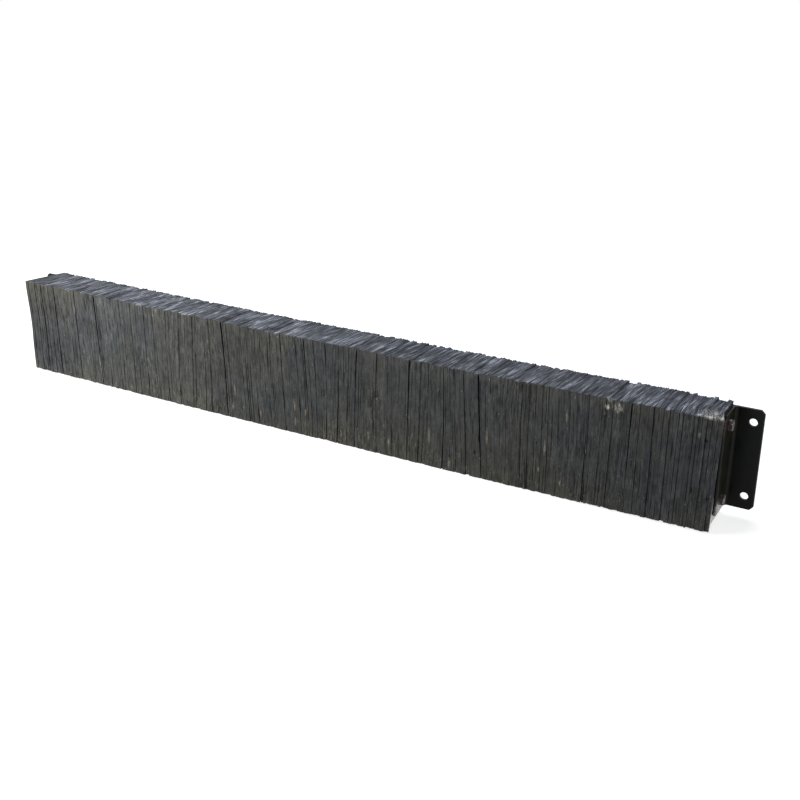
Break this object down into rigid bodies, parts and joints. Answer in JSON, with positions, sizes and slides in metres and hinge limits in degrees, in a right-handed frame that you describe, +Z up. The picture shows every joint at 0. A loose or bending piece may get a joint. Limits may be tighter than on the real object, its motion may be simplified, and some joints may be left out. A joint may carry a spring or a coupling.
{
  "type": "dock bumper",
  "caption": "Long laminated dock bumper: rubber plies cut from tyre casing, threaded on tie rods and clamped between steel angles that bolt to the dock wall.",
  "frame": {"origin": "middle of the length and of the depth, at the level of the lowest pads", "axes": "+X along the stack, +Y from the front face towards the wall, +Z up"},
  "size_m": [2.0126, 0.118, 0.2584],
  "materials": {
    "pad_rubber": "ragged cut rubber",
    "angle_paint": "satin black",
    "rod_steel": "plain steel",
    "nut_steel": "grey steel with rust"
  },
  "bodies": {
    "root": {"rubber_pads_01": "pad_rubber", "rubber_pads_02": "pad_rubber", "rubber_pads_03": "pad_rubber", "rubber_pads_04": "pad_rubber", "rubber_pads_05": "pad_rubber", "rubber_pads_06": "pad_rubber", "rubber_pads_07": "pad_rubber", "rubber_pads_08": "pad_rubber", "rubber_pads_09": "pad_rubber", "rubber_pads_10": "pad_rubber", "rubber_pads_11": "pad_rubber", "rubber_pads_12": "pad_rubber", "rubber_pads_13": "pad_rubber", "rubber_pads_14": "pad_rubber", "rubber_pads_15": "pad_rubber", "rubber_pads_16": "pad_rubber", "rubber_pads_17": "pad_rubber", "rubber_pads_18": "pad_rubber", "rubber_pads_19": "pad_rubber", "rubber_pads_20": "pad_rubber", "rubber_pads_21": "pad_rubber", "rubber_pads_22": "pad_rubber", "rubber_pads_23": "pad_rubber", "rubber_pads_24": "pad_rubber", "rubber_pads_25": "pad_rubber", "rubber_pads_26": "pad_rubber", "rubber_pads_27": "pad_rubber", "rubber_pads_28": "pad_rubber", "rubber_pads_29": "pad_rubber", "rubber_pads_30": "pad_rubber", "rubber_pads_31": "pad_rubber", "rubber_pads_32": "pad_rubber", "rubber_pads_33": "pad_rubber", "rubber_pads_34": "pad_rubber", "rubber_pads_35": "pad_rubber", "rubber_pads_36": "pad_rubber", "rubber_pads_37": "pad_rubber", "rubber_pads_38": "pad_rubber", "rubber_pads_39": "pad_rubber", "rubber_pads_40": "pad_rubber", "rubber_pads_41": "pad_rubber", "rubber_pads_42": "pad_rubber", "rubber_pads_43": "pad_rubber", "rubber_pads_44": "pad_rubber", "rubber_pads_45": "pad_rubber", "rubber_pads_46": "pad_rubber", "rubber_pads_47": "pad_rubber", "rubber_pads_48": "pad_rubber", "rubber_pads_49": "pad_rubber", "rubber_pads_50": "pad_rubber", "upper_tie_rod": "rod_steel", "lower_tie_rod": "rod_steel", "left_end_angle": "angle_paint", "right_end_angle": "angle_paint", "left_rod_nuts": "nut_steel", "right_rod_nuts": "nut_steel"}
  },
  "joints": []
}
